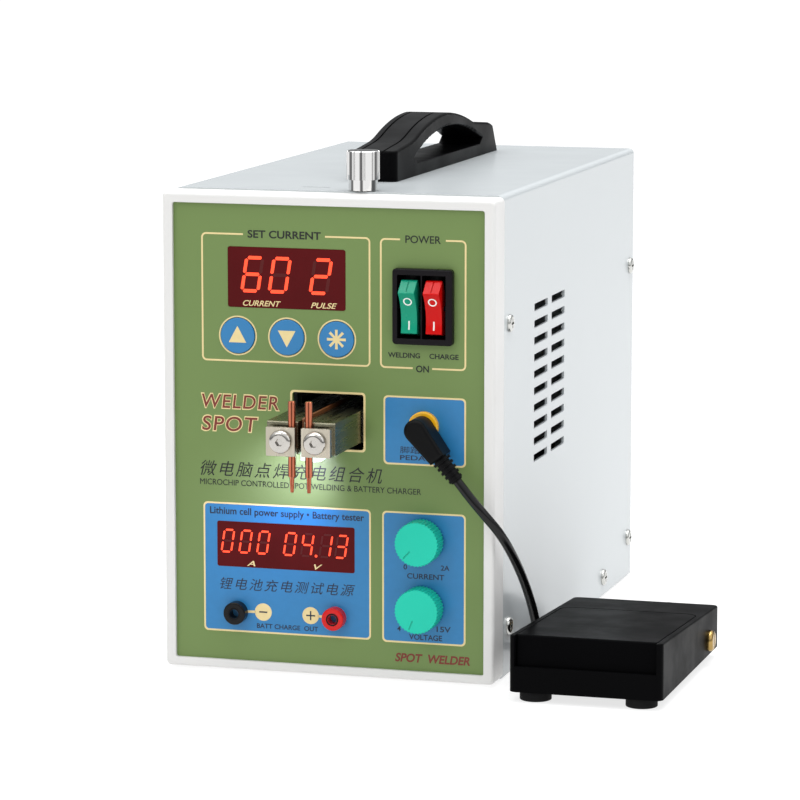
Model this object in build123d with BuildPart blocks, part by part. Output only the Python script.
from build123d import *
import math
import os

# Tabletop spot welder with battery charger and foot pedal.
# Millimetres, +Z up, front towards -Y.  The origin is on the standing surface,
# below the middle of the whole object (welder and pedal, without the free cord).

os.makedirs("parts", exist_ok=True)

# ---------------------------------------------------------------- driving dimensions
WIDTH = 145.0          # cover, side to side
TOP = 207.0            # upper face of the cover above the surface
DEPTH = 259.0          # front of the bezel to the rear edge of the cover
SHEET = 1.2            # cover sheet
FOOT = 1.2             # welder feet below the tray
BEZEL_WIDTH = 146.6
BEZEL_DEPTH = 15.0
PANEL_W, PANEL_H = 137.5, 197.0      # visible part of the front panel
PANEL_Z = 103.5                      # its middle height
PANEL_Y = 1.6                        # its recess behind the bezel's front
PANEL_T = 2.0
SCREW_HEAD = 1.6       # cover screw heads stand this proud
HEAD_REACH = 43.0      # clamp screws stand this far in front of the bezel
INLET_PROUD = 1.5      # mains inlet behind the cover's rear edge
PEDAL_LEFT, PEDAL_RIGHT = 85.5, 150.7
PEDAL_FRONT, PEDAL_REAR = -22.3, 92.0
PEDAL_FLOOR = 4.2      # underside of the pedal housing
HINGE_HEAD = 2.5       # pedal hinge screw heads stand this proud
CORD_D = 4.0

BODY_X = -(PEDAL_RIGHT + HINGE_HEAD - WIDTH / 2 - SCREW_HEAD) / 2
FRONT_Y = -(DEPTH + INLET_PROUD - HEAD_REACH) / 2

INNER = WIDTH / 2 - SHEET            # inner face of the cover's sides
BACK = PANEL_Y + PANEL_T             # rear face of the front panel


def level(z):
    """Horizontal plane at height z: local x to the right, local y to the rear."""
    return Plane(origin=(BODY_X, FRONT_Y, z))


def facing(y, x=0.0, z=0.0):
    """Upright plane seen from the front, y behind the bezel: local x right, local y up."""
    return Plane(origin=(BODY_X + x, FRONT_Y + y, z), x_dir=(1, 0, 0), z_dir=(0, -1, 0))


def sideways(x):
    """Upright plane seen from the right, x right of the middle: local x to the rear, local y up."""
    return Plane(origin=(BODY_X + x, FRONT_Y, 0), x_dir=(0, 1, 0), z_dir=(1, 0, 0))


def spot(x, y, z):
    """Point of the welder's own layout in the shared frame."""
    return Vector(BODY_X + x, FRONT_Y + y, z)


# ---------------------------------------------------------------- shared layout
CURRENT_WINDOW = (-18.35, 170.8, 52.1, 25.7)      # middle x, middle z, width, height
CHARGE_WINDOW = (-19.2, 55.5, 61.6, 19.7)
BUTTON_X = (-40.1, -18.1, 3.9)
BUTTON_Z = 145.7
SWITCH_X, SWITCH_Z = 42.2, 161.0
JACK_X, JACK_Z = 42.2, 110.2
POT_X, POT_Z = 41.6, (61.4, 32.6)
SOCKET_X, SOCKET_Z = (-41.2, 2.9), 25.9
HEAD_Z = 110.5                                     # middle of the weld head opening
ARM_IN, ARM_OUT = 1.4, 14.8                        # inner and outer face of an arm
ARM_MID = (ARM_IN + ARM_OUT) / 2
ARM_LOW, ARM_TOP = 102.3, 115.9
ARM_FRONT, ARM_REAR = -36.0, 84.0
PIVOT_Y, PIVOT_Z = 70.0, 109.0
CHEEK = 18.2                                       # inner face of the head frame's cheeks
SPRING_Y = 34.0
KNOB_X, KNOB_Y = 10.0, 20.0
NUT_LOW, NUT_TOP = 146.0, 154.0
FAN_X, FAN_Z = -25.0, 150.0
INLET_X, INLET_Z = 30.0, 36.0
SIDE_SCREWS = ((26.3, 152.0), (26.3, 21.7), (252.0, 151.5), (252.0, 19.4), (201.4, 9.4))
HANDLE_X = 2.4
HANDLE_BOLTS = (74.0, 213.0)
TRANSFORMER_Y = 150.0
TRANSFORMER_BOLTS = ((-51, 158), (51, 158), (-51, 204), (51, 204))
FRAME_BOLTS = ((0, 50), (0, 76))

# ---------------------------------------------------------------- front bezel
with BuildPart() as front_bezel:
    with BuildSketch(facing(BEZEL_DEPTH)):
        with Locations((0, 103.7)):
            RectangleRounded(BEZEL_WIDTH, 205.4, 2.2)
    extrude(amount=BEZEL_DEPTH)
    fillet(front_bezel.faces().sort_by(Axis.Y)[0].edges(), 1.5)
    with BuildSketch(facing(BEZEL_DEPTH)):
        with Locations((0, PANEL_Z)):
            RectangleRounded(PANEL_W, PANEL_H, 1.0)
    extrude(amount=BEZEL_DEPTH, mode=Mode.SUBTRACT)
    with BuildSketch(facing(BEZEL_DEPTH)):
        with Locations((0, PANEL_Z)):
            Rectangle(141.0, 200.6)
    extrude(amount=BEZEL_DEPTH - PANEL_Y, mode=Mode.SUBTRACT)
    for side in (-1, 1):
        for y, z in SIDE_SCREWS[:2]:
            with BuildSketch(sideways(side * 70.35)):
                with Locations((BEZEL_DEPTH + 4, z)):
                    Rectangle(26.0, 14.0)
            extrude(amount=0.85, both=True)
    for y, z in SIDE_SCREWS[:2]:
        with BuildSketch(sideways(0)):
            with Locations((y, z)):
                Circle(1.3)
        extrude(amount=WIDTH, both=True, mode=Mode.SUBTRACT)
front_bezel.part.label = "front_bezel"
export_step(front_bezel.part, "parts/front_bezel.step")

# ---------------------------------------------------------------- front panel
with BuildPart() as front_panel:
    with BuildSketch(facing(BACK)):
        with Locations((0, PANEL_Z)):
            RectangleRounded(140.6, 200.2, 1.0)
        for x, z, w, h in (CURRENT_WINDOW, CHARGE_WINDOW):
            with Locations((x, z)):
                RectangleRounded(w + 0.2, h + 0.2, 1.0, mode=Mode.SUBTRACT)
        with Locations(*[(x, BUTTON_Z) for x in BUTTON_X]):
            Circle(7.85, mode=Mode.SUBTRACT)
        with Locations((SWITCH_X, SWITCH_Z)):
            Rectangle(23.0, 29.0, mode=Mode.SUBTRACT)
        with Locations((0, HEAD_Z)):
            RectangleRounded(31.7, 24.0, 1.2, mode=Mode.SUBTRACT)
        with Locations((JACK_X, JACK_Z)):
            Circle(4.0, mode=Mode.SUBTRACT)
        with Locations(*[(POT_X, z) for z in POT_Z]):
            Circle(3.6, mode=Mode.SUBTRACT)
        with Locations(*[(x, SOCKET_Z) for x in SOCKET_X]):
            Circle(3.8, mode=Mode.SUBTRACT)
    extrude(amount=PANEL_T)
front_panel.part.label = "front_panel"
export_step(front_panel.part, "parts/front_panel.step")

# ---------------------------------------------------------------- cover, top and both sides
COVER_FRONT = BEZEL_DEPTH + 0.1
COVER_LOW = 0.8
VENT_Y = (69.2, 99.7)
VENT_LENGTH, VENT_HEIGHT, VENT_PITCH = 23.6, 3.3, 7.36
VENT_TOP = 153.4
with BuildPart() as cover_shell:
    with BuildSketch(facing(DEPTH)):
        with Locations((0, (TOP + COVER_LOW) / 2)):
            outline = Rectangle(WIDTH, TOP - COVER_LOW)
        fillet(outline.vertices().sort_by(Axis.Y)[-2:], 2.5)
        with Locations((0, (TOP - SHEET + COVER_LOW - 1) / 2)):
            Rectangle(2 * INNER, TOP - SHEET - COVER_LOW + 1, mode=Mode.SUBTRACT)
    extrude(amount=DEPTH - COVER_FRONT)
    with BuildSketch(sideways(0)):
        for row in range(10):
            for y in VENT_Y:
                with Locations((y + VENT_LENGTH / 2, VENT_TOP - row * VENT_PITCH)):
                    RectangleRounded(VENT_LENGTH, VENT_HEIGHT, 0.6)
        with Locations(*SIDE_SCREWS):
            Circle(1.7)
    extrude(amount=WIDTH, both=True, mode=Mode.SUBTRACT)
    with BuildSketch(level(TOP)):
        with Locations((KNOB_X, KNOB_Y)):
            Circle(4.0)
        with Locations((-14.2, 30.5)):
            SlotOverall(12.5, 1.4)
        with Locations(*[(HANDLE_X, y) for y in HANDLE_BOLTS]):
            Circle(2.3)
    extrude(amount=-2 * SHEET, mode=Mode.SUBTRACT)
cover_shell.part.label = "cover_shell"
export_step(cover_shell.part, "parts/cover_shell.step")

# ---------------------------------------------------------------- base tray
TRAY_TOP = 2.7
with BuildPart() as base_tray:
    with BuildSketch(level(FOOT)):
        with Locations((0, (BEZEL_DEPTH + 256.3) / 2)):
            Rectangle(2 * INNER - 0.2, 256.3 - BEZEL_DEPTH)
    extrude(amount=TRAY_TOP - FOOT)
    for side in (-1, 1):
        with BuildSketch(sideways(side * (INNER - 0.1))):
            with Locations(((34 + 242) / 2, (FOOT + 17) / 2)):
                Rectangle(242 - 34, 17 - FOOT)
        extrude(amount=-side * 1.5)
    with BuildSketch(sideways(0)):
        with Locations(SIDE_SCREWS[4]):
            Circle(1.45)
    extrude(amount=WIDTH, both=True, mode=Mode.SUBTRACT)
    with BuildSketch(level(FOOT)):
        with Locations(*TRANSFORMER_BOLTS, *FRAME_BOLTS):
            Circle(2.1)
    extrude(amount=TRAY_TOP, mode=Mode.SUBTRACT)
base_tray.part.label = "base_tray"
export_step(base_tray.part, "parts/base_tray.step")

# ---------------------------------------------------------------- rear panel
REAR_IN, REAR_OUT = 256.5, 258.0
with BuildPart() as rear_panel:
    with BuildSketch(facing(REAR_OUT)):
        with Locations((0, 104.2)):
            Rectangle(2 * INNER - 0.2, 202.6)
        with Locations((INLET_X, INLET_Z)):
            Rectangle(27.6, 31.6, mode=Mode.SUBTRACT)
        for ring in range(4):
            with Locations((FAN_X, FAN_Z)):
                with PolarLocations(7.0 + 6.2 * ring, 6 + 6 * ring):
                    Circle(2.1, mode=Mode.SUBTRACT)
        with Locations(*[(50, z) for z in range(120, 186, 8)]):
            SlotOverall(24.0, 3.0, mode=Mode.SUBTRACT)
    extrude(amount=REAR_OUT - REAR_IN)
    for side in (-1, 1):
        with BuildSketch(sideways(side * (INNER - 0.1))):
            with Locations(((244.5 + REAR_OUT) / 2, 104.2)):
                Rectangle(REAR_OUT - 244.5, 202.6)
            for y, z in SIDE_SCREWS[2:4]:
                with Locations((y, z)):
                    Circle(1.45, mode=Mode.SUBTRACT)
        extrude(amount=-side * 1.2)
rear_panel.part.label = "rear_panel"
export_step(rear_panel.part, "parts/rear_panel.step")

# ---------------------------------------------------------------- cover screws, cross recess
with BuildPart() as cover_screws:
    for side in (-1, 1):
        for y, z in SIDE_SCREWS:
            with BuildSketch(sideways(side * WIDTH / 2)):
                with Locations((y, z)):
                    Circle(3.8)
            extrude(amount=side * SCREW_HEAD)
            with BuildSketch(sideways(side * WIDTH / 2)):
                with Locations((y, z)):
                    Circle(1.25)
            extrude(amount=-side * 6.0)
            with BuildSketch(sideways(side * (WIDTH / 2 + SCREW_HEAD))):
                with Locations((y, z)):
                    Rectangle(4.0, 0.9)
                    Rectangle(0.9, 4.0)
            extrude(amount=-side * 1.1, mode=Mode.SUBTRACT)
        outer_faces = cover_screws.faces().filter_by(Axis.X).sort_by(Axis.X)
        rims = outer_faces[-5:] if side > 0 else outer_faces[:5]
        fillet([face.edges().filter_by(GeomType.CIRCLE)[0] for face in rims], 1.2)
cover_screws.part.label = "cover_screws"
export_step(cover_screws.part, "parts/cover_screws.step")

# ---------------------------------------------------------------- feet of the welder and of the pedal
with BuildPart() as rubber_feet:
    with BuildSketch(level(0)):
        with Locations((-56, 34), (56, 34), (-56, 236), (56, 236)):
            Circle(8.0)
    extrude(amount=FOOT)
    with BuildSketch(level(0)):
        with Locations((95.2, -14), (140.4, -14), (95.2, 78), (140.4, 78)):
            Circle(6.7)
    extrude(amount=PEDAL_FLOOR)
    fillet(rubber_feet.faces().group_by(Axis.Z)[0].edges(), 0.5)
rubber_feet.part.label = "rubber_feet"
export_step(rubber_feet.part, "parts/rubber_feet.step")

# ---------------------------------------------------------------- carrying handle
HANDLE_W = 20.0
HANDLE_TOP = 231.3
GROOVE = 0.7
with BuildSketch(Plane.XY) as handle_outline:
    with BuildLine():
        Polyline((82, 222.2), (61, 220.4), (61, TOP), (230.5, TOP), (222.5, 219.2), (216, 221.4), (190, 223.6))
        ThreePointArc((190, 223.6), (167, 228.7), (142, HANDLE_TOP))
        ThreePointArc((142, HANDLE_TOP), (118, 229.4), (98, 225.2))
        ThreePointArc((98, 225.2), (90, 223.3), (82, 222.2))
    make_face()
with BuildPart() as carry_handle:
    with BuildSketch(sideways(HANDLE_X - HANDLE_W / 2)):
        add(handle_outline.sketch)
        with BuildLine():
            Polyline((90, 215.0), (94.5, 212.5), (200, 212.5), (204, 215.0))
            ThreePointArc((204, 215.0), (148, 225.0), (90, 215.0))
        make_face(mode=Mode.SUBTRACT)
    extrude(amount=HANDLE_W)
    fillet(carry_handle.edges().filter_by(Axis.Z).sort_by(Axis.Y)[:2], 3.0)
    top_run = carry_handle.edges().filter_by(lambda e: e.center().Z > TOP + 13.5 and e.length > 5)
    fillet(top_run.filter_by(Plane.YZ), 1.2)
    for x in (-6.4, 4.4):
        with BuildSketch(sideways(HANDLE_X + x)):
            add(handle_outline.sketch)
            offset(handle_outline.sketch, amount=-GROOVE, mode=Mode.SUBTRACT)
            with Locations((145, TOP)):
                Rectangle(190, 25, mode=Mode.SUBTRACT)
        extrude(amount=0.45, both=True, mode=Mode.SUBTRACT)
    with BuildSketch(sideways(HANDLE_X - HANDLE_W / 2)):
        Polygon((190.6, 226), (201.4, 223.6), (204.6, 215.0), (205.2, 215.0), (202.0, 224.6), (190.6, 227),
                align=None)
    extrude(amount=0.7, mode=Mode.SUBTRACT)
    with BuildSketch(level(TOP)):
        with Locations(*[(HANDLE_X, y) for y in HANDLE_BOLTS]):
            Circle(2.1)
    extrude(amount=9.5, mode=Mode.SUBTRACT)
carry_handle.part.label = "carry_handle"
export_step(carry_handle.part, "parts/carry_handle.step")

# ---------------------------------------------------------------- frame bolts, M4 hexagon head
with BuildPart() as frame_bolts:
    for spots, seat, direction, length in (
        (TRANSFORMER_BOLTS, 4.7, 1, 3.5),
        (FRAME_BOLTS, 4.7, 1, 3.5),
        ([(HANDLE_X, y) for y in HANDLE_BOLTS], TOP - SHEET, -1, 9.5),
    ):
        with BuildSketch(level(seat)):
            with Locations(*spots):
                RegularPolygon(4.0, 6)
        extrude(amount=direction * 2.8)
        with BuildSketch(level(seat)):
            with Locations(*spots):
                Circle(1.95)
        extrude(amount=-direction * length)
frame_bolts.part.label = "frame_bolts"
export_step(frame_bolts.part, "parts/frame_bolts.step")

# ---------------------------------------------------------------- pressure knob with its screw
KNOB_R = 7.1
with BuildPart() as pressure_knob:
    with BuildSketch(level(212.0)):
        with Locations((KNOB_X, KNOB_Y)):
            Circle(KNOB_R)
            with PolarLocations(KNOB_R + 0.3, 10):
                Circle(0.8, mode=Mode.SUBTRACT)
    extrude(amount=12.2)
    chamfer(pressure_knob.faces().sort_by(Axis.Z)[-1].edges().filter_by(lambda e: e.length > 0.5), 0.3)
    with BuildSketch(level(207.4)):
        with Locations((KNOB_X, KNOB_Y)):
            Circle(6.2)
    extrude(amount=4.8)
    with BuildSketch(level(128.0)):
        with Locations((KNOB_X, KNOB_Y)):
            Circle(3.0)
    extrude(amount=80.0)
    with BuildSketch(level(165.3)):
        with Locations((KNOB_X, KNOB_Y)):
            Circle(4.6)
    extrude(amount=3.0)
pressure_knob.part.label = "pressure_knob"
export_step(pressure_knob.part, "parts/pressure_knob.step")

# ---------------------------------------------------------------- pressure nut, presses on both springs
with BuildPart() as pressure_nut:
    with BuildSketch(level(NUT_LOW)):
        with Locations((0, 28.0)):
            Rectangle(2 * CHEEK - 0.6, 25.0)
    extrude(amount=NUT_TOP - NUT_LOW)
    with BuildSketch(level(NUT_LOW - 4)):
        with Locations((-ARM_MID, SPRING_Y), (ARM_MID, SPRING_Y)):
            Circle(2.4)
    extrude(amount=4)
    with BuildSketch(level(NUT_LOW)):
        with Locations((KNOB_X, KNOB_Y)):
            Circle(3.05)
    extrude(amount=NUT_TOP - NUT_LOW, mode=Mode.SUBTRACT)
pressure_nut.part.label = "pressure_nut"
export_step(pressure_nut.part, "parts/pressure_nut.step")


# ---------------------------------------------------------------- helical springs
def spring(centre_x, centre_y, low, high, radius, wire, turns):
    """Compression spring standing on a horizontal seat, as a swept helix."""
    rise = high - low - 2 * wire
    base = spot(centre_x, centre_y, low + wire)
    path = Helix(pitch=rise / turns, height=rise, radius=radius, center=base)
    with BuildPart() as coil:
        with BuildSketch(Plane(origin=path @ 0, z_dir=path % 0)):
            Circle(wire)
        sweep(path=path, is_frenet=True)
    return coil


for name, side in (("spring_left", -1), ("spring_right", 1)):
    arm_spring = spring(side * ARM_MID, SPRING_Y, ARM_TOP + 0.1, NUT_LOW - 0.1, 3.6, 0.6, 9)
    arm_spring.part.label = name
    export_step(arm_spring.part, f"parts/{name}.step")

# ---------------------------------------------------------------- weld arms
PIN_X, PIN_Y, PIN_R = 3.7, -37.0, 1.6
CLAMP_X, CLAMP_Z = 7.4, 108.0
for name, side in (("arm_left", -1), ("arm_right", 1)):
    with BuildPart() as arm:
        with BuildSketch(sideways(side * ARM_IN)):
            with Locations(((ARM_FRONT + ARM_REAR) / 2, (ARM_LOW + ARM_TOP) / 2)):
                RectangleRounded(ARM_REAR - ARM_FRONT, ARM_TOP - ARM_LOW, 0.8)
            with Locations((PIVOT_Y, PIVOT_Z)):
                Circle(2.55, mode=Mode.SUBTRACT)
        extrude(amount=side * (ARM_OUT - ARM_IN))
        with BuildSketch(level(ARM_LOW - 1)):
            with Locations((side * PIN_X, PIN_Y)):
                Circle(PIN_R + 0.1)
        extrude(amount=20, mode=Mode.SUBTRACT)
        with BuildSketch(facing(ARM_FRONT)):
            with Locations((side * CLAMP_X, CLAMP_Z)):
                Circle(2.0)
        extrude(amount=-9, mode=Mode.SUBTRACT)
    arm.part.label = name
    export_step(arm.part, f"parts/{name}.step")

# ---------------------------------------------------------------- clamp plates
CLAMP_FRONT, CLAMP_BACK = -40.5, -38.0
for name, side in (("clamp_plate_left", -1), ("clamp_plate_right", 1)):
    with BuildPart() as plate:
        with BuildSketch(facing(CLAMP_BACK)):
            with Locations((side * 7.65, 107.95)):
                RectangleRounded(12.5, 12.1, 0.4)
        extrude(amount=CLAMP_BACK - CLAMP_FRONT)
        with BuildSketch(facing(ARM_FRONT - 0.05)):
            with Locations((side * 12.9, 107.95)):
                Rectangle(1.9, 12.0)
        extrude(amount=ARM_FRONT - 0.05 - CLAMP_BACK)
        with BuildSketch(level(100)):
            with Locations((side * PIN_X, PIN_Y)):
                Circle(PIN_R + 0.1)
        extrude(amount=20, mode=Mode.SUBTRACT)
        with BuildSketch(facing(0)):
            with Locations((side * CLAMP_X, CLAMP_Z)):
                Circle(2.2)
        extrude(amount=60, mode=Mode.SUBTRACT)
    plate.part.label = name
    export_step(plate.part, f"parts/{name}.step")

# ---------------------------------------------------------------- clamp screws, button head with hexagon socket
for name, side in (("clamp_screw_left", -1), ("clamp_screw_right", 1)):
    with BuildPart() as screw:
        with BuildSketch(facing(CLAMP_FRONT)):
            with Locations((side * CLAMP_X, CLAMP_Z)):
                Circle(4.9)
        extrude(amount=2.5)
        fillet(screw.faces().sort_by(Axis.Y)[0].edges(), 1.9)
        with BuildSketch(facing(CLAMP_FRONT - 2.5)):
            with Locations((side * CLAMP_X, CLAMP_Z)):
                RegularPolygon(1.75, 6)
        extrude(amount=-1.5, mode=Mode.SUBTRACT)
        with BuildSketch(facing(CLAMP_FRONT)):
            with Locations((side * CLAMP_X, CLAMP_Z)):
                Circle(1.95)
        extrude(amount=-12.5)
    screw.part.label = name
    export_step(screw.part, f"parts/{name}.step")

# ---------------------------------------------------------------- electrode pins
for name, side in (("electrode_left", -1), ("electrode_right", 1)):
    with BuildPart() as pin:
        with BuildSketch(level(93.0)):
            with Locations((side * PIN_X, PIN_Y)):
                Circle(PIN_R)
        extrude(amount=31.7)
        chamfer(pin.faces().sort_by(Axis.Z)[-1].edges(), 0.35)
        with BuildSketch(level(93.0)):
            with Locations((side * PIN_X, PIN_Y)):
                Circle(1.05)
        extrude(amount=-6.6, taper=2.5)
    pin.part.label = name
    export_step(pin.part, f"parts/{name}.step")

# ---------------------------------------------------------------- insulating sheet between the arms
with BuildPart() as arm_insulator:
    with BuildSketch(sideways(-0.5)):
        with Locations(((-33 + 78) / 2, (ARM_LOW + 117) / 2)):
            RectangleRounded(78 + 33, 117 - ARM_LOW, 1.0)
        with Locations((PIVOT_Y, PIVOT_Z)):
            Circle(2.5, mode=Mode.SUBTRACT)
    extrude(amount=1.0)
arm_insulator.part.label = "arm_insulator"
export_step(arm_insulator.part, "parts/arm_insulator.step")

# ---------------------------------------------------------------- work lamp under the insulator
with BuildPart() as work_lamp:
    with BuildSketch(level(97.5)):
        with Locations((0, -19)):
            RectangleRounded(9.0, 9.0, 1.0)
    extrude(amount=4.0)
    with BuildSketch(level(101.5)):
        with Locations((0, -19)):
            Rectangle(1.0, 9.0)
    extrude(amount=0.8)
    with BuildSketch(level(97.5)):
        with Locations((0, -19)):
            Circle(2.5)
    extrude(amount=-0.8, taper=20)
work_lamp.part.label = "work_lamp"
export_step(work_lamp.part, "parts/work_lamp.step")

# ---------------------------------------------------------------- head frame, folded steel
with BuildPart() as head_frame:
    for side in (-1, 1):
        with BuildSketch(sideways(side * CHEEK)):
            with BuildLine():
                Polyline(
                    (22, 98), (22, 140), (15.2, 148), (15.2, 165), (46, 165), (52, 130), (88, 122),
                    (88, TRAY_TOP), (40, TRAY_TOP), (40, 92), (28, 98), (22, 98),
                )
            make_face()
            with Locations((PIVOT_Y, PIVOT_Z)):
                Circle(2.5, mode=Mode.SUBTRACT)
        extrude(amount=side * 2.0)
    with BuildSketch(level(TRAY_TOP)):
        with Locations((0, 64)):
            Rectangle(2 * CHEEK + 4, 48)
        with Locations(*FRAME_BOLTS):
            Circle(2.1, mode=Mode.SUBTRACT)
    extrude(amount=2.0)
    with BuildSketch(level(163.0)):
        with Locations((0, (15.2 + 46) / 2)):
            Rectangle(2 * CHEEK + 4, 46 - 15.2)
        with Locations((KNOB_X, KNOB_Y)):
            Circle(3.05, mode=Mode.SUBTRACT)
    extrude(amount=2.0)
    with BuildSketch(sideways(-CHEEK)):
        with Locations((29, 100.1)):
            Rectangle(8, 4.2)
    extrude(amount=2 * CHEEK)
head_frame.part.label = "head_frame"
export_step(head_frame.part, "parts/head_frame.step")

# ---------------------------------------------------------------- pivot axle
with BuildPart() as pivot_axle:
    with BuildSketch(sideways(-CHEEK - 3)):
        with Locations((PIVOT_Y, PIVOT_Z)):
            Circle(2.5)
    extrude(amount=2 * CHEEK + 6)
    for side in (-1, 1):
        with BuildSketch(sideways(side * (CHEEK + 2.1))):
            with Locations((PIVOT_Y, PIVOT_Z)):
                Circle(4.0)
        extrude(amount=side * 1.2)
pivot_axle.part.label = "pivot_axle"
export_step(pivot_axle.part, "parts/pivot_axle.step")

# ---------------------------------------------------------------- flexible leads, transformer to arms
TERMINAL_TOP = 61.0
for name, side in (("lead_left", -1), ("lead_right", 1)):
    with BuildPart() as lead:
        with BuildLine(sideways(side * ARM_MID)) as lead_path:
            FilletPolyline((124, TERMINAL_TOP + 0.05), (124, 76), (79, 86), (79, ARM_LOW - 0.05), radius=8)
        with BuildSketch(level(TERMINAL_TOP + 0.05)):
            with Locations((side * ARM_MID, 124)):
                Rectangle(8.0, 3.0)
        sweep(path=lead_path.wires()[0])
    lead.part.label = name
    export_step(lead.part, f"parts/{name}.step")

# ---------------------------------------------------------------- welding transformer
STACK = 62.0
CORE_W, CORE_H, CORE_LOW = 92.0, 72.0, 4.7
with BuildPart() as transformer_core:
    with BuildSketch(facing(TRANSFORMER_Y + STACK)):
        with Locations((0, CORE_LOW + CORE_H / 2)):
            Rectangle(CORE_W, CORE_H)
        with Locations((-23, CORE_LOW + CORE_H / 2), (23, CORE_LOW + CORE_H / 2)):
            Rectangle(16, 44, mode=Mode.SUBTRACT)
    extrude(amount=STACK)
    with BuildSketch(level(TRAY_TOP)):
        with Locations((0, 158), (0, 204)):
            Rectangle(114, 12)
        with Locations(*TRANSFORMER_BOLTS):
            Circle(2.1, mode=Mode.SUBTRACT)
    extrude(amount=2.0)
transformer_core.part.label = "transformer_core"
export_step(transformer_core.part, "parts/transformer_core.step")

with BuildPart() as transformer_winding:
    with BuildSketch(level(19.5)):
        with Locations((0, TRANSFORMER_Y + STACK / 2)):
            RectangleRounded(60.4, 92.0, 12)
            Rectangle(30.8, 62.8, mode=Mode.SUBTRACT)
    extrude(amount=26.5)
transformer_winding.part.label = "transformer_winding"
export_step(transformer_winding.part, "parts/transformer_winding.step")

with BuildPart() as secondary_bar:
    with BuildSketch(level(48.0)):
        with Locations((-23.2, 175), (23.2, 175)):
            Rectangle(12, 102)
        with Locations((0, 221)):
            Rectangle(58.4, 10)
        with Locations((-16.7, 124), (16.7, 124)):
            Rectangle(25, 10)
    extrude(amount=TERMINAL_TOP - 48.0)
secondary_bar.part.label = "secondary_bar"
export_step(secondary_bar.part, "parts/secondary_bar.step")

# ---------------------------------------------------------------- thyristor on its heatsink
with BuildPart() as thyristor_heatsink:
    with BuildSketch(facing(112)):
        with Locations((-45, TRAY_TOP + 2)):
            Rectangle(36, 4)
        with Locations(*[(-61.5 + 5.5 * fin, TRAY_TOP + 16) for fin in range(3)]):
            Rectangle(1.6, 30)
    extrude(amount=70)
    with BuildSketch(level(TRAY_TOP + 4)):
        with Locations((-38, 77)):
            Rectangle(20, 34)
    extrude(amount=13)
thyristor_heatsink.part.label = "thyristor_heatsink"
export_step(thyristor_heatsink.part, "parts/thyristor_heatsink.step")

# ---------------------------------------------------------------- circuit boards
BOARD_Y, BOARD_T = 11.8, 1.6
with BuildPart() as control_board:
    with BuildSketch(facing(BOARD_Y + BOARD_T)):
        with Locations((-18, 166)):
            Rectangle(84, 60)
        with Locations((-50, 190)):
            Circle(1.6, mode=Mode.SUBTRACT)
    extrude(amount=BOARD_T)
    with BuildSketch(facing(BOARD_Y)):
        with Locations(*[(x, BUTTON_Z) for x in BUTTON_X]):
            Rectangle(6, 6)
    extrude(amount=3.7)
    with BuildSketch(facing(BOARD_Y + BOARD_T)):
        with Locations((-45, 175), (-45, 150)):
            Rectangle(14, 10)
    extrude(amount=-3.0)
control_board.part.label = "control_board"
export_step(control_board.part, "parts/control_board.step")

with BuildPart() as charger_board:
    with BuildSketch(facing(BOARD_Y + BOARD_T)):
        with Locations((-20, 63)):
            Rectangle(84, 56)
    extrude(amount=BOARD_T)
    with BuildSketch(facing(BOARD_Y + BOARD_T)):
        with Locations((-52, 75), (-36, 75)):
            Circle(6.0)
        with Locations((4, 78)):
            Rectangle(22, 18)
    extrude(amount=-20.0)
charger_board.part.label = "charger_board"
export_step(charger_board.part, "parts/charger_board.step")

# ---------------------------------------------------------------- displays
with BuildPart() as display_windows:
    with BuildSketch(facing(BACK)):
        for x, z, w, h in (CURRENT_WINDOW, CHARGE_WINDOW):
            with Locations((x, z)):
                RectangleRounded(w, h, 0.9)
    extrude(amount=PANEL_T + 0.1)
display_windows.part.label = "display_windows"
export_step(display_windows.part, "parts/display_windows.step")

with BuildPart() as led_displays:
    with BuildSketch(facing(BOARD_Y - 0.1)):
        for x, z, w, h in (CURRENT_WINDOW, CHARGE_WINDOW):
            with Locations((x, z)):
                Rectangle(w - 2, h - 2)
    extrude(amount=BOARD_Y - BACK - 0.2)
led_displays.part.label = "led_displays"
export_step(led_displays.part, "parts/led_displays.step")

# ---------------------------------------------------------------- push buttons
for name, x in zip(("button_up", "button_down", "button_pulse"), BUTTON_X):
    with BuildPart() as button:
        with BuildSketch(facing(BACK + 1.2)):
            with Locations((x, BUTTON_Z)):
                Circle(7.6)
        extrude(amount=BACK + 1.2 - 0.9)
        fillet(button.faces().sort_by(Axis.Y)[0].edges(), 0.4)
        with BuildSketch(facing(BACK + 1.2)):
            with Locations((x, BUTTON_Z)):
                Circle(8.7)
        extrude(amount=1.0)
        with BuildSketch(facing(7.5)):
            with Locations((x, BUTTON_Z)):
                Circle(2.0)
        extrude(amount=7.5 - BACK - 1.2)
    button.part.label = name
    export_step(button.part, f"parts/{name}.step")

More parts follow.
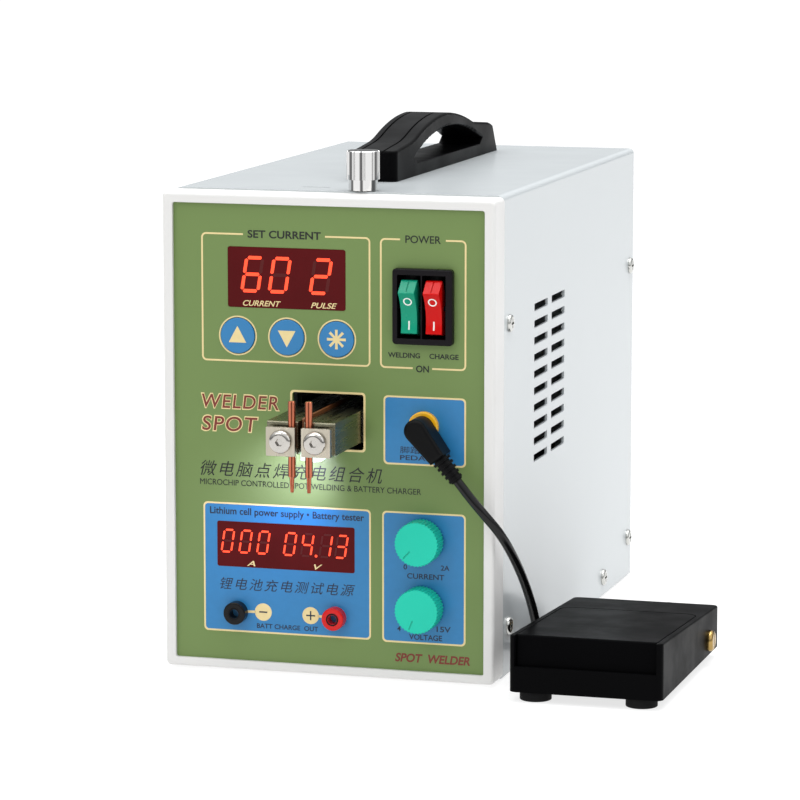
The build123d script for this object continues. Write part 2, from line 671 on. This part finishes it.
# ---------------------------------------------------------------- double rocker switch
ROCKER_X = (SWITCH_X - 5.7, SWITCH_X + 5.1)
ROCKER_Y, ROCKER_Z = 2.4, SWITCH_Z - 0.6
ROCKER_TILT = 15.0
ROCKER_W = 6.9
with BuildPart() as rocker_housing:
    with BuildSketch(facing(PANEL_Y)):
        with Locations((SWITCH_X, SWITCH_Z)):
            RectangleRounded(26.2, 32.0, 1.6)
    extrude(amount=3.5)
    fillet(rocker_housing.faces().sort_by(Axis.Y)[0].edges(), 0.8)
    with BuildSketch(facing(26)):
        with Locations((SWITCH_X, SWITCH_Z)):
            Rectangle(22.8, 28.8)
    extrude(amount=26 - PANEL_Y)
    with BuildSketch(facing(9.5)):
        with Locations(*[(x, SWITCH_Z) for x in ROCKER_X]):
            Rectangle(10.3, 26.8)
    extrude(amount=12, mode=Mode.SUBTRACT)
    with BuildSketch(sideways(SWITCH_X - 11)):
        with Locations((ROCKER_Y, ROCKER_Z)):
            Circle(1.0)
    extrude(amount=22)
    with BuildSketch(facing(26)):
        with Locations((SWITCH_X - 6, SWITCH_Z), (SWITCH_X + 6, SWITCH_Z)):
            with GridLocations(1, 9, 1, 3):
                Rectangle(4.0, 0.8)
    extrude(amount=-7)
rocker_housing.part.label = "rocker_housing"
export_step(rocker_housing.part, "parts/rocker_housing.step")

# A rocker rests with its lower end pressed, so its own profile is drawn on a tilted plane.
TILT = math.radians(ROCKER_TILT)
for name, x in zip(("rocker_green", "rocker_red"), ROCKER_X):
    tilted_back = (0, math.cos(TILT), math.sin(TILT))
    tilted = Plane(origin=spot(x, ROCKER_Y, ROCKER_Z), x_dir=tilted_back, z_dir=(1, 0, 0))
    with BuildPart() as rocker:
        with BuildSketch(tilted):
            with BuildLine():
                ThreePointArc((-7.0, -9.0), (-4.6, 0), (-7.0, 9.0))
                Polyline(
                    (-7.0, 9.0), (-0.5, 12.3), (1.0, 12.0), (3.2, 4),
                    (3.2, -4), (1.0, -12.0), (-0.5, -12.3), (-7.0, -9.0),
                )
            make_face()
            Circle(1.05, mode=Mode.SUBTRACT)
        extrude(amount=ROCKER_W / 2, both=True)
        fillet(rocker.edges().filter_by(Axis.X).sort_by(Axis.Y)[0:1], 0.4)
        with BuildSketch(tilted):
            for end in (-1, 1):
                Polygon((-6.5, 9.8 * end), (-6.1, 9.05 * end), (-0.9, 11.7 * end), (-1.3, 12.6 * end), align=None)
        extrude(amount=0.2, both=True, mode=Mode.SUBTRACT)
    rocker.part.label = name
    export_step(rocker.part, f"parts/{name}.step")

# ---------------------------------------------------------------- charger knobs
FLUTES = 40
KNOB_FACE, DIAL_R = -8.6, 9.5
for name, z, pointer in (("current_knob", POT_Z[0], 42.0), ("voltage_knob", POT_Z[1], 21.5)):
    turn = math.radians(pointer)
    with BuildPart() as knob:
        with BuildSketch(facing(0.6)):
            with Locations((POT_X, z)):
                Circle(DIAL_R)
                with PolarLocations(DIAL_R + 0.2, FLUTES):
                    Circle(0.6, mode=Mode.SUBTRACT)
        extrude(amount=0.6 - KNOB_FACE)
        with BuildSketch(facing(0.6)):
            with Locations((POT_X, z)):
                Circle(6.4)
        extrude(amount=4.0, mode=Mode.SUBTRACT)
        with BuildSketch(facing(11.0)):
            with Locations((POT_X, z)):
                Circle(2.0)
        extrude(amount=15.0)
        with BuildSketch(facing(KNOB_FACE)):
            middle = (POT_X - 6.2 * math.sin(turn), z - 6.2 * math.cos(turn))
            with Locations(Location((middle[0], middle[1], 0), (0, 0, 90 - pointer))):
                SlotOverall(4.2, 0.6)
        extrude(amount=-0.4, mode=Mode.SUBTRACT)
    knob.part.label = name
    export_step(knob.part, f"parts/{name}.step")

with BuildPart() as potentiometers:
    with BuildSketch(facing(13.0)):
        with Locations(*[(POT_X, z) for z in POT_Z]):
            Circle(8.2)
    extrude(amount=8.0)
    with BuildSketch(facing(5.0)):
        with Locations(*[(POT_X, z) for z in POT_Z]):
            Circle(3.5)
    extrude(amount=6.5)
    with BuildSketch(facing(PANEL_Y)):
        with Locations(*[(POT_X, z) for z in POT_Z]):
            RegularPolygon(5.6, 6)
    extrude(amount=2.0)
    with BuildSketch(facing(13.0)):
        with Locations(*[(POT_X, z) for z in POT_Z]):
            Circle(2.06)
    extrude(amount=20.0, mode=Mode.SUBTRACT)
potentiometers.part.label = "potentiometers"
export_step(potentiometers.part, "parts/potentiometers.step")

# ---------------------------------------------------------------- charge output sockets, 4 mm
SOCKET_FRONT, SOCKET_BORE, SOCKET_DEEP = -3.0, 2.0, 15.0
for name, x in zip(("socket_black", "socket_red"), SOCKET_X):
    with BuildPart() as socket:
        with BuildSketch(facing(PANEL_Y)):
            with Locations((x, SOCKET_Z)):
                Circle(4.9)
        extrude(amount=PANEL_Y - SOCKET_FRONT)
        fillet(socket.faces().sort_by(Axis.Y)[0].edges(), 0.7)
        with BuildSketch(facing(16.0)):
            with Locations((x, SOCKET_Z)):
                Circle(3.6)
        extrude(amount=16.0 - PANEL_Y)
        with BuildSketch(facing(BACK + 3.2)):
            with Locations((x, SOCKET_Z)):
                RegularPolygon(5.8, 6)
        extrude(amount=3.0)
        with BuildSketch(facing(SOCKET_FRONT + SOCKET_DEEP)):
            with Locations((x, SOCKET_Z)):
                Circle(SOCKET_BORE)
        extrude(amount=SOCKET_DEEP, mode=Mode.SUBTRACT)
    socket.part.label = name
    export_step(socket.part, f"parts/{name}.step")

# ---------------------------------------------------------------- pedal jack
JACK_FRONT = -0.9
with BuildPart() as pedal_jack:
    with BuildSketch(facing(PANEL_Y)):
        with Locations((JACK_X, JACK_Z)):
            Circle(6.5)
    extrude(amount=PANEL_Y - JACK_FRONT)
    fillet(pedal_jack.faces().sort_by(Axis.Y)[0].edges(), 0.6)
    with BuildSketch(facing(6.0)):
        with Locations((JACK_X, JACK_Z)):
            Circle(3.9)
    extrude(amount=6.0 - PANEL_Y)
    with BuildSketch(facing(24.0)):
        with Locations((JACK_X, JACK_Z)):
            Rectangle(13, 13)
    extrude(amount=18.0)
    with BuildSketch(facing(20.0)):
        with Locations((JACK_X, JACK_Z)):
            Circle(2.8)
    extrude(amount=22.0, mode=Mode.SUBTRACT)
pedal_jack.part.label = "pedal_jack"
export_step(pedal_jack.part, "parts/pedal_jack.step")

# ---------------------------------------------------------------- right-angle plug with strain relief
PLUG_ANGLE = math.radians(-50.8)
PLUG_DIR = Vector(math.cos(PLUG_ANGLE), 0, math.sin(PLUG_ANGLE))
PLUG_AXIS_Y = -7.6
PLUG_FRONT, PLUG_REAR = -13.4, -1.3
RELIEF_START, RELIEF_END = 14.0, 27.0
with BuildPart() as cord_plug:
    with BuildSketch(Plane(origin=spot(JACK_X, PLUG_REAR, JACK_Z), x_dir=PLUG_DIR, z_dir=(0, -1, 0))):
        with BuildLine():
            Polyline((0.6, 4.9), (15.2, 3.6), (15.2, -3.6), (0.6, -4.9))
            ThreePointArc((0.6, -4.9), (-4.9, 0), (0.6, 4.9))
        make_face()
    extrude(amount=PLUG_REAR - PLUG_FRONT)
    fillet(cord_plug.faces().sort_by(Axis.Y)[0].edges(), 1.6)
    with BuildSketch(facing(18.0)):
        with Locations((JACK_X, JACK_Z)):
            Circle(2.6)
    extrude(amount=18.0 - PLUG_REAR)
    relief_root = spot(JACK_X, PLUG_AXIS_Y, JACK_Z) + PLUG_DIR * RELIEF_START
    with BuildSketch(Plane(origin=relief_root, x_dir=(0, 1, 0), z_dir=PLUG_DIR)):
        Circle(3.1)
    extrude(amount=RELIEF_END - RELIEF_START, taper=2)
    for step in range(5):
        rib = relief_root + PLUG_DIR * (1.9 + 2.3 * step)
        with BuildSketch(Plane(origin=rib, x_dir=(0, 1, 0), z_dir=PLUG_DIR)):
            Circle(4.1 - 0.22 * step)
        extrude(amount=1.2)
cord_plug.part.label = "cord_plug"
export_step(cord_plug.part, "parts/cord_plug.step")

# ---------------------------------------------------------------- pedal cord
COIL_X, COIL_Y = 111.0, 124.0
COIL_R, COIL_HALF, COIL_TOP = 22.0, 6.0, 8.0
GLAND_X, GLAND_Z, GLAND_END = 134.0, 11.0, 104.0
cord_start = spot(JACK_X, PLUG_AXIS_Y, JACK_Z) + PLUG_DIR * RELIEF_END
DROP_POINTS = [
    (64.6, -8.8, 83.2),
    (71.4, -9.6, 76.0),
    (77.6, -5.0, 67.0),
    (81.0, 5.0, 55.0),
    (82.0, 18.0, 42.6),
    (82.2, 31.0, 29.0),
    (81.6, 42.0, 16.0),
    (80.8, 54.0, 6.2),
    (79.8, 69.0, 2.4),
    (79.2, 85.0, 2.1),
    (81.6, 101.0, 2.1),
    (84.6, 114.0, 2.4),
]


def cord_tube(points):
    """Round cord along straight runs joined by arcs, each as large as its two runs allow."""
    radii = []
    for before, corner, after in zip(points, points[1:], points[2:]):
        run_in, run_out = corner - before, after - corner
        half_turn = math.radians(run_in.get_angle(run_out)) / 2
        radii.append(0.45 * min(run_in.length, run_out.length) / math.tan(half_turn))
    print("cord arc radii, mm:", [round(r, 1) for r in radii])
    with BuildLine() as route:
        FilletPolyline(*points, radius=radii)
    path = route.wires()[0]
    with BuildPart() as tube:
        with BuildSketch(Plane(origin=path @ 0, z_dir=path % 0)):
            Circle(CORD_D / 2)
        sweep(path=path)
    section = math.pi * CORD_D ** 2 / 4
    ratio = tube.part.volume / section / path.length
    print("cord length, mm:", round(path.length, 1))
    print("volume over section times length:", round(ratio, 4))
    return tube


TAIL_POINTS = [(GLAND_X, GLAND_END, GLAND_Z), (134.2, 108.6, 10.2), (135.2, 113.4, 8.0), (136.4, 118.4, 6.0)]
drop_tube = cord_tube([cord_start] + [spot(*point) for point in DROP_POINTS])
tail_tube = cord_tube([spot(*point) for point in TAIL_POINTS])
with BuildPart() as pedal_cord:
    add(drop_tube.part)
    add(tail_tube.part)
pedal_cord.part.label = "pedal_cord"
export_step(pedal_cord.part, "parts/pedal_cord.step")

with BuildPart() as cord_coil:
    with BuildSketch(level(0.1)):
        with Locations((COIL_X, COIL_Y)):
            Circle(COIL_R + COIL_HALF)
            Circle(COIL_R - COIL_HALF, mode=Mode.SUBTRACT)
    extrude(amount=COIL_TOP)
    fillet(cord_coil.edges().filter_by(GeomType.CIRCLE), 1.8)
cord_coil.part.label = "cord_coil"
export_step(cord_coil.part, "parts/cord_coil.step")

# ---------------------------------------------------------------- fan
FAN_FRONT, FAN_BACK = 236.3, 256.3
with BuildPart() as fan_frame:
    with BuildSketch(facing(FAN_BACK)):
        with Locations((FAN_X, FAN_Z)):
            RectangleRounded(60, 60, 4)
            Circle(28.5, mode=Mode.SUBTRACT)
        with Locations((FAN_X, FAN_Z)):
            with GridLocations(50, 50, 2, 2):
                Circle(2.2, mode=Mode.SUBTRACT)
    extrude(amount=FAN_BACK - FAN_FRONT)
    with BuildSketch(facing(FAN_FRONT + 2.5)):
        with Locations((FAN_X, FAN_Z)):
            Circle(12)
            for turn in range(3):
                with Locations(Location((0, 0, 0), (0, 0, 120 * turn + 30))):
                    with Locations((20, 0)):
                        Rectangle(18.5, 3)
    extrude(amount=2.5)
    with BuildSketch(facing(FAN_BACK - 4)):
        with Locations((FAN_X, FAN_Z)):
            Circle(1.5)
    extrude(amount=FAN_BACK - 4 - FAN_FRONT)
fan_frame.part.label = "fan_frame"
export_step(fan_frame.part, "parts/fan_frame.step")

with BuildPart() as fan_rotor:
    with BuildSketch(facing(FAN_BACK - 3)):
        with Locations((FAN_X, FAN_Z)):
            Circle(13)
    extrude(amount=13.5)
    with BuildSketch(facing(FAN_BACK - 4)):
        with Locations((FAN_X, FAN_Z)):
            with PolarLocations(0, 7):
                with Locations(Location((20, 0, 0), (0, 0, 18))):
                    Rectangle(15.5, 2.2)
    extrude(amount=11.0)
    with BuildSketch(facing(FAN_BACK - 3.9)):
        with Locations((FAN_X, FAN_Z)):
            Circle(1.56)
    extrude(amount=13.0, mode=Mode.SUBTRACT)
fan_rotor.part.label = "fan_rotor"
export_step(fan_rotor.part, "parts/fan_rotor.step")

# ---------------------------------------------------------------- mains inlet with fuse drawer front
with BuildPart() as mains_inlet:
    with BuildSketch(facing(DEPTH + INLET_PROUD)):
        with Locations((INLET_X, INLET_Z)):
            RectangleRounded(31, 35, 2)
    extrude(amount=DEPTH + INLET_PROUD - REAR_OUT)
    with BuildSketch(facing(REAR_OUT)):
        with Locations((INLET_X, INLET_Z)):
            Rectangle(27.2, 31.2)
    extrude(amount=22)
    with BuildSketch(facing(DEPTH + INLET_PROUD, INLET_X, INLET_Z - 4)):
        with BuildLine():
            Polyline((-12, 8), (12, 8), (12, -4), (8, -8), (-8, -8), (-12, -4), (-12, 8))
        make_face()
    extrude(amount=17, mode=Mode.SUBTRACT)
    with BuildSketch(facing(DEPTH + INLET_PROUD)):
        with Locations((INLET_X, INLET_Z + 11)):
            Rectangle(20, 7)
            Rectangle(19, 6, mode=Mode.SUBTRACT)
    extrude(amount=1.0, mode=Mode.SUBTRACT)
    with BuildSketch(facing(DEPTH - 2)):
        with Locations((INLET_X, INLET_Z - 6), (INLET_X - 7, INLET_Z - 2), (INLET_X + 7, INLET_Z - 2)):
            Rectangle(2, 4)
    extrude(amount=16)
mains_inlet.part.label = "mains_inlet"
export_step(mains_inlet.part, "parts/mains_inlet.step")

# ---------------------------------------------------------------- foot pedal
PEDAL_X = (PEDAL_LEFT + PEDAL_RIGHT) / 2
PEDAL_W = PEDAL_RIGHT - PEDAL_LEFT
PEDAL_HIGH, PEDAL_BACK_HIGH = 28.2, 22.2
WALL = 2.5
DECK_Y = 62.0                                   # the rear deck starts here
HINGE_Y, HINGE_Z = 71.0, 10.6
WELL_CORNER = 6.5                               # rounding of the treadle well at the deck
SLOPE = (PEDAL_HIGH - PEDAL_BACK_HIGH) / (PEDAL_REAR - PEDAL_FRONT)


def pedal_height(y, below=0.0):
    """Height of the pedal's sloping top at depth y, less a distance below it."""
    return PEDAL_HIGH - SLOPE * (y - PEDAL_FRONT) - below


with BuildPart() as pedal_base:
    with BuildSketch(sideways(PEDAL_LEFT)):
        with BuildLine():
            Polyline(
                (PEDAL_FRONT, PEDAL_FLOOR), (PEDAL_REAR, PEDAL_FLOOR), (PEDAL_REAR, PEDAL_BACK_HIGH),
                (PEDAL_FRONT, PEDAL_HIGH), (PEDAL_FRONT, PEDAL_FLOOR),
            )
        make_face()
    extrude(amount=PEDAL_W)
    fillet(pedal_base.edges().filter_by(Axis.Z), 3.2)
    fillet(pedal_base.faces().sort_by(Axis.Z)[-1].edges(), 0.7)
    with BuildSketch(level(PEDAL_FLOOR + 2)):
        with Locations((PEDAL_X, (PEDAL_FRONT + 1.8 + DECK_Y) / 2)):
            well = Rectangle(PEDAL_W - 2 * WALL, DECK_Y - PEDAL_FRONT - 1.8)
        fillet(well.vertices().sort_by(Axis.Y)[-2:], WELL_CORNER)
    extrude(amount=40, mode=Mode.SUBTRACT)
    with BuildSketch(sideways(PEDAL_LEFT + WALL)):
        with BuildLine():
            Polyline(
                (DECK_Y - 8, PEDAL_FLOOR + 2), (PEDAL_REAR - 2.5, PEDAL_FLOOR + 2),
                (PEDAL_REAR - 2.5, PEDAL_BACK_HIGH - 2.4), (DECK_Y - 8, PEDAL_BACK_HIGH - 1.4),
                (DECK_Y - 8, PEDAL_FLOOR + 2),
            )
        make_face()
    extrude(amount=PEDAL_W - 2 * WALL, mode=Mode.SUBTRACT)
    with BuildSketch(facing(PEDAL_FRONT + 3)):
        with Locations((PEDAL_X, 25)):
            Rectangle(PEDAL_W - 2 * WALL, 20)
    extrude(amount=6, mode=Mode.SUBTRACT)
    with BuildSketch(sideways(PEDAL_X)):
        with Locations((HINGE_Y, HINGE_Z)):
            Circle(2.3)
    extrude(amount=PEDAL_W, both=True, mode=Mode.SUBTRACT)
    with BuildSketch(facing(PEDAL_REAR + 1)):
        with Locations((GLAND_X, GLAND_Z)):
            Circle(3.1)
    extrude(amount=6, mode=Mode.SUBTRACT)
pedal_base.part.label = "pedal_base"
export_step(pedal_base.part, "parts/pedal_base.step")

TREADLE_GAP = 0.5
LIP_Y = PEDAL_FRONT + 1.8 + 0.9
LIP_LOW = 13.4
PLATE = 2.4
SWITCH_Y = 50.0
with BuildPart() as treadle:
    with BuildSketch(sideways(PEDAL_LEFT + WALL + TREADLE_GAP)):
        with BuildLine():
            Polyline(
                (LIP_Y, LIP_LOW), (LIP_Y + 0.6, pedal_height(LIP_Y)), (DECK_Y - 0.6, pedal_height(DECK_Y)),
                (DECK_Y - 0.6, pedal_height(DECK_Y, PLATE)), (LIP_Y + 2.8, pedal_height(LIP_Y, PLATE)),
                (LIP_Y + 2.3, LIP_LOW), (LIP_Y, LIP_LOW),
            )
        make_face()
    extrude(amount=PEDAL_W - 2 * WALL - 2 * TREADLE_GAP)
    fillet(treadle.edges().filter_by(Axis.Z).sort_by(Axis.Y)[-2:], WELL_CORNER - 0.5)
    for side in (-1, 1):
        outer = PEDAL_X + side * (PEDAL_W / 2 - WALL - TREADLE_GAP)
        with BuildSketch(sideways(outer)):
            with BuildLine():
                Polyline(
                    (LIP_Y + 1.0, 16), (40, 15), (60, 8), (64, 7.0), (74, 7.4), (76.2, 10.6), (74, 14.4),
                    (62, 16.5), (50, pedal_height(50, 1.0)), (LIP_Y + 1.0, pedal_height(LIP_Y, 1.0)),
                    (LIP_Y + 1.0, 16),
                )
            make_face()
            with Locations((HINGE_Y, HINGE_Z)):
                Circle(2.06, mode=Mode.SUBTRACT)
        extrude(amount=-side * 2.2)
    fillet(treadle.faces().sort_by(Axis.Z)[-1].edges().filter_by(Axis.X).sort_by(Axis.Y)[0:1], 0.9)
    with BuildSketch(level(18.4)):
        with Locations((118.0, SWITCH_Y)):
            Circle(2.5)
    extrude(amount=5.0)
    with BuildSketch(level(19.5)):
        with Locations((PEDAL_X, 14)):
            Circle(3.0)
    extrude(amount=5.0)
treadle.part.label = "treadle"
export_step(treadle.part, "parts/treadle.step")

with BuildPart() as pedal_hinge_screws:
    for side, wall_face in ((-1, PEDAL_LEFT), (1, PEDAL_RIGHT)):
        with BuildSketch(sideways(wall_face)):
            with Locations((HINGE_Y, HINGE_Z)):
                Circle(4.6)
        extrude(amount=side * HINGE_HEAD)
        fillet(pedal_hinge_screws.faces().sort_by(Axis.X)[-1 if side > 0 else 0].edges(), 1.6)
        with BuildSketch(sideways(wall_face)):
            with Locations((HINGE_Y, HINGE_Z)):
                Circle(2.0)
        extrude(amount=-side * 7.0)
        with BuildSketch(sideways(wall_face + side * HINGE_HEAD)):
            with Locations((HINGE_Y, HINGE_Z)):
                Rectangle(1.0, 9.4)
        extrude(amount=-side * 0.9, mode=Mode.SUBTRACT)
pedal_hinge_screws.part.label = "pedal_hinge_screws"
export_step(pedal_hinge_screws.part, "parts/pedal_hinge_screws.step")

pedal_spring = spring(PEDAL_X, 14, PEDAL_FLOOR + 2.1, pedal_height(14, PLATE) - 0.3, 5.0, 0.7, 5)
pedal_spring.part.label = "pedal_spring"
export_step(pedal_spring.part, "parts/pedal_spring.step")

with BuildPart() as pedal_switch:
    with BuildSketch(level(PEDAL_FLOOR + 2)):
        with Locations((114.0, SWITCH_Y)):
            RectangleRounded(20.0, 6.4, 0.6)
    extrude(amount=10.0)
    with BuildSketch(level(PEDAL_FLOOR + 12)):
        with Locations((118.0, SWITCH_Y)):
            Circle(1.26)
    extrude(amount=-5.0, mode=Mode.SUBTRACT)
    with BuildSketch(sideways(103)):
        with Locations((SWITCH_Y, PEDAL_FLOOR + 5)):
            Circle(1.5)
    extrude(amount=5, mode=Mode.SUBTRACT)
pedal_switch.part.label = "pedal_switch"
export_step(pedal_switch.part, "parts/pedal_switch.step")

with BuildPart() as switch_plunger:
    with BuildSketch(level(14.0)):
        with Locations((118.0, SWITCH_Y)):
            Circle(1.2)
    extrude(amount=4.2)
    fillet(switch_plunger.faces().sort_by(Axis.Z)[-1].edges(), 0.4)
switch_plunger.part.label = "switch_plunger"
export_step(switch_plunger.part, "parts/switch_plunger.step")

with BuildPart() as pedal_gland:
    with BuildSketch(facing(PEDAL_REAR - 4.5)):
        with Locations((GLAND_X, GLAND_Z)):
            Circle(3.0)
    extrude(amount=-4.6)
    with BuildSketch(facing(PEDAL_REAR + 0.1)):
        with Locations((GLAND_X, GLAND_Z)):
            Circle(4.2)
    extrude(amount=-2.0)
    with BuildSketch(facing(PEDAL_REAR + 2.1)):
        with Locations((GLAND_X, GLAND_Z)):
            Circle(3.4)
    extrude(amount=-(GLAND_END - PEDAL_REAR - 2.1), taper=4)
pedal_gland.part.label = "pedal_gland"
export_step(pedal_gland.part, "parts/pedal_gland.step")
